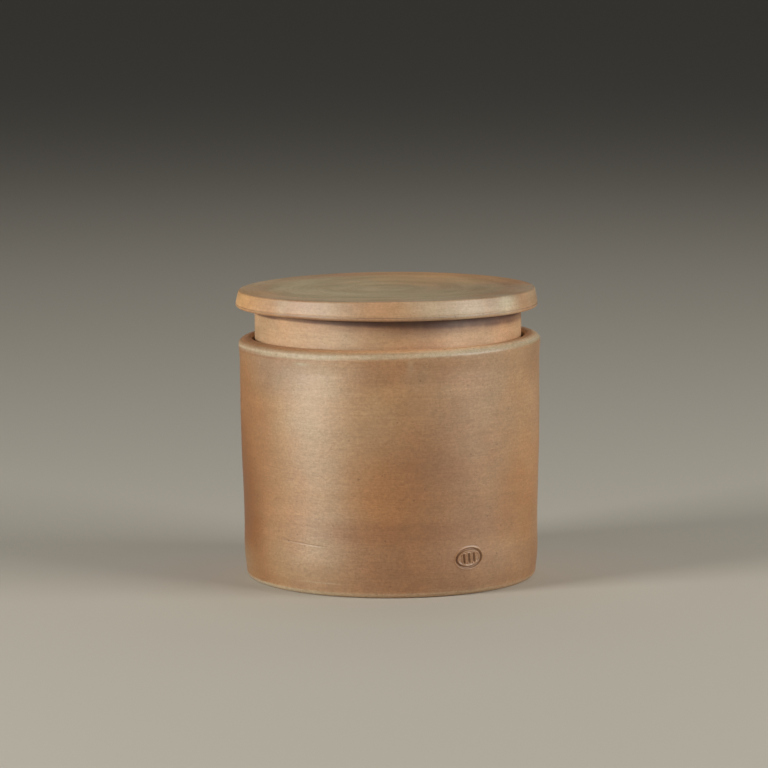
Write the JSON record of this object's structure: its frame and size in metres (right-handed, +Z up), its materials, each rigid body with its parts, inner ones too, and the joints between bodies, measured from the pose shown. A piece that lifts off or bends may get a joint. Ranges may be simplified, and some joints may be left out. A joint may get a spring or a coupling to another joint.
{
  "type": "lidded ceramic box",
  "caption": "Round straight-walled clay box with a flat overhanging lid; the lid's deep collar stands on a ledge inside the mouth and leaves a finger gap all round.",
  "frame": {"origin": "under the middle of the jar, on the surface that it stands on", "axes": "+Z up along the axis that both pieces were turned about, -Y towards the viewer of the picture"},
  "size_m": [0.101, 0.101, 0.0964],
  "materials": {
    "jar_clay": "unglazed clay, burnished to a soft sheen, with orange, brown and pale grey flashing from the saggar",
    "lid_clay": "the same clay; the top of the disc is greyer and more olive, and its edge is pale"
  },
  "bodies": {
    "jar": {"jar_body": "jar_clay"},
    "lid": {"lid": "lid_clay"}
  },
  "joints": [
    {"name": "lid_lift", "type": "slide", "parent": "jar", "child": "lid", "axis": [0, 0, 1], "range_m": [0, 0.05]}
  ]
}
